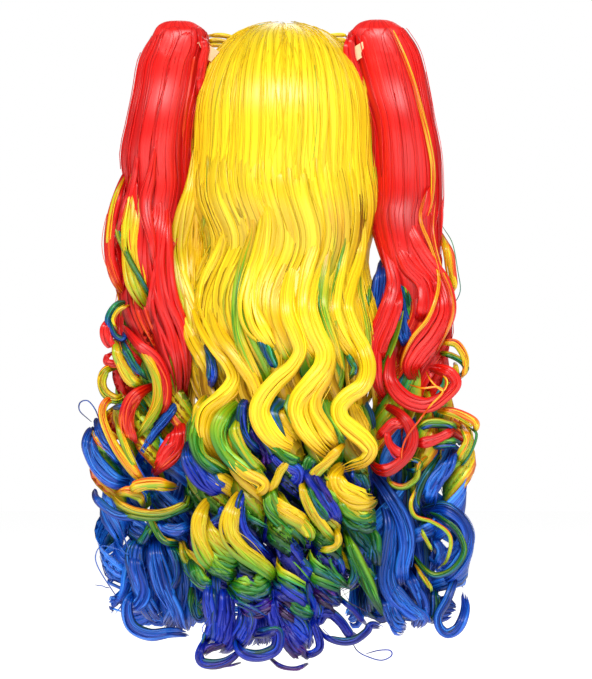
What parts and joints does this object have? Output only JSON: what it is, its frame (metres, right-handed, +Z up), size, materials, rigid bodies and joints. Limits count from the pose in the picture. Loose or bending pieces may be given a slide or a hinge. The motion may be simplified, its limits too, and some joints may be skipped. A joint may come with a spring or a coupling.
{
  "type": "curly wig",
  "caption": "Long curly costume wig with smooth crown, waved back hair ending in rainbow ringlets and two clip-on ponytails high at the sides, on a hollow net cap.",
  "frame": {"origin": "top of the head, inside the crown of the cap", "axes": "+Z up, +Y the way the wearer faces, +X to the wearer's right"},
  "size_m": [0.3557, 0.2241, 0.6009],
  "materials": {
    "net": "open stretch net",
    "base_hair": "silky synthetic fibre, yellow at the crown through green and blue to purple tips",
    "tail_hair": "silky synthetic fibre, red at the root through yellow and green to blue tips",
    "clip": "smooth moulded plastic"
  },
  "bodies": {
    "root": {"wig_cap": "net", "crown_hair": "base_hair", "back_hair_left": "base_hair", "back_hair_centre": "base_hair", "back_hair_right": "base_hair", "side_hair_left": "base_hair", "side_hair_right": "base_hair", "fringe": "base_hair", "left_ponytail": "tail_hair", "right_ponytail": "tail_hair", "left_clip": "clip", "right_clip": "clip"}
  },
  "joints": []
}
